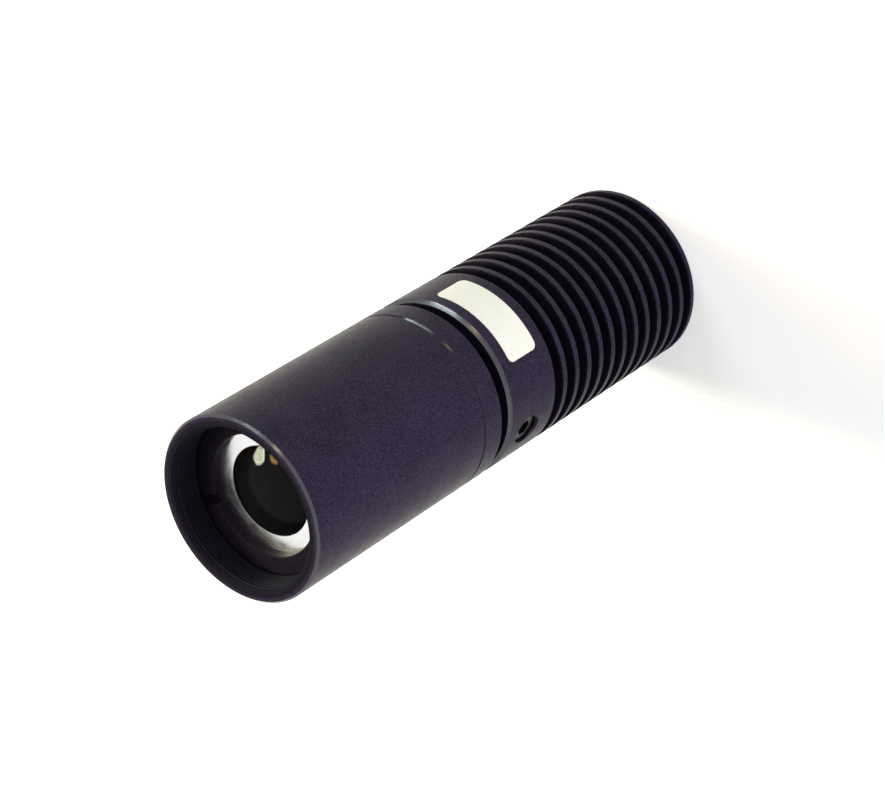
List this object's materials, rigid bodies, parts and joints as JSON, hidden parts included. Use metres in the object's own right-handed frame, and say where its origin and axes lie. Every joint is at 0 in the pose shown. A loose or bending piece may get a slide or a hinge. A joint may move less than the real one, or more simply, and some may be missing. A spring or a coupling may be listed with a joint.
{
  "type": "led collimator",
  "caption": "Cylindrical black LED collimator with a threaded lens tube, a focusing gap, a blank side label and a finned heat sink.",
  "frame": {"origin": "centre of the rear face, on which the part stands", "axes": "+Z along the optical axis from the rear face to the front opening, where the light leaves; -Y towards the set screw"},
  "size_m": [0.0306, 0.0304, 0.0982],
  "materials": {
    "black_anodised_tube": "satin black anodised",
    "black_anodised_sleeve": "satin black anodised",
    "black_anodised_housing": "satin black anodised",
    "black_anodised_ring": "matte black anodised",
    "bright_aluminium": "turned, bright, bare",
    "lens_glass": "polished, clear",
    "label_white": "satin white, blank",
    "black_steel": "black oxide",
    "bare_aluminium": "turned, bare",
    "screw_steel": "bright zinc plated",
    "pad_grey": "soft, matte grey",
    "board_white": "white solder mask on a metal core",
    "washer_nylon": "natural nylon",
    "lamp_ceramic": "matte white",
    "lamp_phosphor": "matte yellow phosphor",
    "lamp_silicone": "clear",
    "wire_red": "satin red insulation",
    "wire_black": "satin black insulation",
    "black_anodised_plate": "satin black anodised",
    "nickel_plated_brass": "satin nickel plated",
    "gasket_rubber": "matte black",
    "insert_black": "matte black",
    "contact_gold": "gold plated"
  },
  "bodies": {
    "housing": {"heatsink_body": "black_anodised_housing", "set_screw": "black_steel", "label": "label_white", "led_post": "bare_aluminium", "post_screws": "black_steel", "thermal_pad": "pad_grey", "led_board": "board_white", "screw_washers": "washer_nylon", "board_screws": "screw_steel", "led_base": "lamp_ceramic", "led_emitter": "lamp_phosphor", "led_dome": "lamp_silicone", "red_wire": "wire_red", "black_wire": "wire_black", "socket_plate": "black_anodised_plate", "socket_shell": "nickel_plated_brass", "socket_gasket": "gasket_rubber", "socket_insert": "insert_black", "socket_pins": "contact_gold", "socket_nut": "nickel_plated_brass"},
    "focus_tube": {"focus_sleeve": "black_anodised_sleeve", "lens_tube": "black_anodised_tube", "lens_cell": "bright_aluminium", "lens": "lens_glass", "lens_ring": "black_anodised_ring", "retaining_ring": "black_anodised_ring"}
  },
  "joints": [
    {"name": "focus_slide", "type": "slide", "parent": "housing", "child": "focus_tube", "axis": [0, 0, 1], "range_m": [-0.0022, 0.005]}
  ]
}
